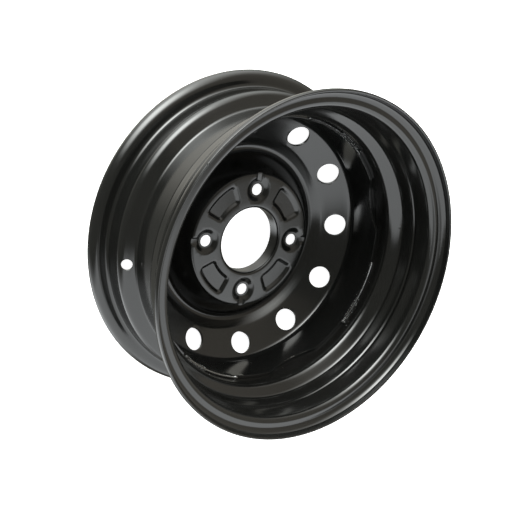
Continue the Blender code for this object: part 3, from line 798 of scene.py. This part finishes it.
pushed = add_node(bead_tree, "ShaderNodeVectorMath", {0: normal.outputs[0], "Scale": rough},
                  operation="SCALE")
lift = add_node(bead_tree, "ShaderNodeCombineXYZ", {"Z": source.outputs["Height"]})
moved = add_node(bead_tree, "ShaderNodeVectorMath", {0: pushed.outputs[0], 1: lift.outputs[0]},
                 operation="ADD")
raised = add_node(bead_tree, "GeometryNodeSetPosition", {"Geometry": tube.outputs["Mesh"],
                                                         "Offset": moved.outputs[0]})
everything = add_node(bead_tree, "GeometryNodeJoinGeometry")
bead_tree.links.new(raised.outputs[0], everything.inputs[0])
print(bead_tree.name, "has", len(bead_tree.nodes), "nodes without its spatter")

# %% Spatter beside the bead
FINE_BALLS, COARSE_BALLS, BLOB_BALLS = (0.00012, 0.00034), (0.00035, 0.00060), (0.00050, 0.00100)


def add_spatter(radius, low, high, salt, first=-0.03, last=1.03, share=1.0, sizes=FINE_BALLS):
    """Frozen balls on a wall of one radius, between two heights, along a part of the bead's arc."""
    seed = calculate(bead_tree, "ADD", source.outputs["Seed"], salt)
    number = calculate(bead_tree, "MULTIPLY", source.outputs["Spatter Count"], share)
    drops = add_node(bead_tree, "GeometryNodeMeshLine", {"Count": number,
                                                         "Offset": (0.0, 0.0, 0.0)})

    def chance(least, most, step):
        salted = calculate(bead_tree, "ADD", seed, step)
        return add_node(bead_tree, "FunctionNodeRandomValue",
                        {"Min": least, "Max": most, "Seed": salted}).outputs["Value"]

    angle = calculate(bead_tree, "MULTIPLY_ADD", chance(first, last, 1), source.outputs["Sweep"],
                      source.outputs["Start Angle"])
    across = calculate(bead_tree, "COSINE", angle)
    along = calculate(bead_tree, "SINE", angle)
    height = calculate(bead_tree, "ADD", source.outputs["Height"], chance(low, high, 2))
    flat = add_node(bead_tree, "ShaderNodeCombineXYZ", {"X": across, "Y": along})
    out = add_node(bead_tree, "ShaderNodeVectorMath", {0: flat.outputs[0], "Scale": radius},
                   operation="SCALE")
    up = add_node(bead_tree, "ShaderNodeCombineXYZ", {"Z": height})
    spot = add_node(bead_tree, "ShaderNodeVectorMath", {0: out.outputs[0], 1: up.outputs[0]},
                    operation="ADD")
    spread = add_node(bead_tree, "GeometryNodeSetPosition", {"Geometry": drops.outputs[0],
                                                             "Position": spot.outputs[0]})
    ball = add_node(bead_tree, "GeometryNodeMeshIcoSphere", {"Radius": 1.0, "Subdivisions": 2})
    balls = add_node(bead_tree, "GeometryNodeInstanceOnPoints",
                     {"Points": spread.outputs[0], "Instance": ball.outputs["Mesh"],
                      "Scale": chance(*sizes, 3)})
    bead_tree.links.new(balls.outputs[0], everything.inputs[0])


add_spatter(WELL_INSIDE, 0.0020, 0.0100, 40)
add_spatter(FLANGE_INSIDE, -0.0070, -0.0014, 80)
add_spatter(WELL_INSIDE - 0.0003, 0.0020, 0.0024, 120, 0.0, 0.42, 2.6, COARSE_BALLS)
add_spatter(FLANGE_INSIDE + 0.0002, -0.0008, -0.0004, 160, 0.0, 0.42, 2.6, COARSE_BALLS)
add_spatter(WELL_INSIDE - 0.0026, -0.0010, 0.0024, 200, 0.0, 0.09, 4.0, BLOB_BALLS)
end_tree(bead_tree, source, everything.outputs[0], output)
print(bead_tree.name, "has", len(bead_tree.nodes), "nodes")

# %% Lay the four beads
# Where each bead starts and stops, in degrees from its even place round the wheel.
BEAD_ENDS = ((-17.0, 17.0), (-17.0, 14.5), (-14.0, 17.2), (-17.2, 16.5))
beads = []
for number, stops in enumerate(BEAD_ENDS):
    begin, end = (math.radians(angle) for angle in stops)
    start = BEAD_AZIMUTH + math.tau * number / len(BEAD_ENDS) + begin
    beads.append(bake(f"laid_bead_{number + 1}", [(bead_tree, {
        "Arc Radius": WELL_INSIDE - 0.0014, "Height": DISC_EDGE_Z + 0.0007,
        "Start Angle": start, "Sweep": end - begin, "Bead Radius": 0.0015, "Ripple": 0.0006,
        "Spatter Count": 14, "Seed": 11 + number, "Material": weld_paint})]))
print("beads:", [len(bead.data.polygons) for bead in beads])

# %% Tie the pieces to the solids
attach(rim, "root")
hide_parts("rim_band")
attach(disc, "root")
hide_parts("centre_disc")
for number, bead in enumerate(beads):
    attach(bead, "root")
    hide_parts(f"weld_bead_{number + 1}")
print("pieces ride on root")

# %% [markdown]
# ## Floor, light and camera
#
# The picture is a plain studio shot: a sweep that is flat under the wheel, curves up behind it and
# comes out pure white, soft light all round, and a long lens that looks down at the side that
# faces the car. The paint is nearly black, so almost all that can be seen in it is the studio
# mirrored, and each soft panel is placed where its mirror image falls on the bend that shines.
# Area lamps would light the wheel too, but panels drawn on the world's sky have no distance and
# can fade at any edge.

# %% White sweep under the wheel
SWEEP_SIDES = 96
SWEEP_PROFILE = ((3.5, 0.0), (4.3, 0.15), (4.9, 0.7), (5.2, 1.6), (5.3, 3.0), (5.3, 7.0))
sweep = bmesh.new()
rings = [[sweep.verts.new(point) for point in circle_ring(radius, SWEEP_SIDES, z)]
         for radius, z in SWEEP_PROFILE]
sweep.faces.new(rings[0])
for low, high in zip(rings, rings[1:]):
    for index in range(SWEEP_SIDES):
        sweep.faces.new((low[index], low[index - 1], high[index - 1], high[index]))
floor_mesh = bpy.data.meshes.new("white_table")
sweep.to_mesh(floor_mesh)
sweep.free()
floor = place("white_table", floor_mesh)
card = bpy.data.materials.new("white_card")
card.use_nodes = True
shader = card.node_tree.nodes["Principled BSDF"]
shader.inputs["Base Color"].default_value = (0.9, 0.9, 0.9, 1.0)
shader.inputs["Roughness"].default_value = 0.9
shader.inputs["Emission Color"].default_value = (1.0, 1.0, 1.0, 1.0)
shader.inputs["Emission Strength"].default_value = 1.0
floor_mesh.materials.append(card)
floor.visible_glossy = False
floor.visible_diffuse = False
floor.visible_shadow = False
print("sweep:", len(floor_mesh.polygons), "faces")

# %% Light tent
world = bpy.data.worlds.new("light_tent")
scene.world = world
world.use_nodes = True
tent = world.node_tree
towards = add_node(tent, "ShaderNodeSeparateXYZ",
                   {"Vector": add_node(tent, "ShaderNodeTexCoord").outputs["Generated"]})
turn_about = calculate(tent, "ARCTAN2", towards.outputs["Y"], towards.outputs["X"])
height_of = calculate(tent, "ARCSINE", towards.outputs["Z"])


def soft_step(angle, middle, half, blur, wraps):
    """1 inside half an angle from the middle, fading to 0 over the blur, in degrees."""
    away = calculate(tent, "SUBTRACT", angle, math.radians(middle))
    if wraps:
        away = calculate(tent, "WRAP", away, math.pi, -math.pi)
    size = calculate(tent, "ABSOLUTE", away)
    return add_node(tent, "ShaderNodeMapRange",
                    {"Value": size, "From Min": math.radians(half + blur / 2),
                     "From Max": math.radians(half - blur / 2)},
                    interpolation_type="SMOOTHSTEP").outputs[0]


def add_panel(total, azimuths, heights, level, tint, blurs):
    """Add one soft panel between two azimuths and two heights, in degrees, to the tent's light."""
    across = soft_step(turn_about, sum(azimuths) / 2, abs(azimuths[1] - azimuths[0]) / 2, blurs[0],
                       True)
    up = soft_step(height_of, sum(heights) / 2, abs(heights[1] - heights[0]) / 2, blurs[1], False)
    mask = calculate(tent, "MULTIPLY", across, up)
    panel = add_node(tent, "ShaderNodeVectorMath",
                     {0: tuple(level * part for part in tint), "Scale": mask},
                     operation="SCALE")
    return add_node(tent, "ShaderNodeVectorMath", {0: total, 1: panel.outputs[0]},
                    operation="ADD").outputs[0]


NEUTRAL, COOL = (0.97, 1.0, 0.975), (0.965, 1.0, 1.02)
WARM, AMBER = (1.03, 1.0, 0.91), (1.12, 1.0, 0.84)
TENT_LIGHT = (0.23, 0.23, 0.205)
# Each panel is its azimuths, its heights, its brightness, its tint and how wide its edges fade.
PANELS = (((12.0, 47.0), (-12.0, 31.0), 13.5, NEUTRAL, (32.0, 28.0)),
          ((-6.0, 45.0), (-30.0, 41.0), 2.0, NEUTRAL, (50.0, 16.0)),
          ((-8.0, 40.0), (-48.0, 45.0), 3.0, NEUTRAL, (38.0, 30.0)),
          ((127.0, 249.0), (2.0, 61.0), 2.5, COOL, (14.0, 11.0)),
          ((129.0, 173.0), (-53.0, 2.0), 2.6, COOL, (30.0, 12.0)),
          ((155.0, 246.0), (61.0, 77.0), 0.80, COOL, (30.0, 10.0)),
          ((322.0, 352.0), (-38.0, 8.0), 2.9, NEUTRAL, (54.0, 54.0)),
          ((252.0, 385.0), (0.0, 68.0), 0.38, AMBER, (10.0, 40.0)),
          ((-70.0, 58.0), (-118.0, -50.0), 1.15, WARM, (70.0, 16.0)))
light = TENT_LIGHT
for panel_values in PANELS:
    light = add_panel(light, *panel_values)
tent.links.new(light, tent.nodes["Background"].inputs["Color"])
print("light tent:", len(tent.nodes), "nodes")

# %% Camera
camera_data = bpy.data.cameras.new("photo_camera")
camera_data.sensor_width = 36.0
camera_data.lens = 61.3308
camera_data.shift_x, camera_data.shift_y = 0.07824, 0.06005
camera = place("photo_camera", camera_data)
camera.location = (0.22504, 0.54945, 0.78829)
camera.rotation_euler = Euler([math.radians(angle) for angle in (-21.7306, -31.351, -80.8948)])
scene.camera = camera
scene.view_settings.view_transform = "Standard"
print("camera looks down at", [round(value, 3) for value in camera.location])

# %% Finish
bpy.context.view_layer.update()
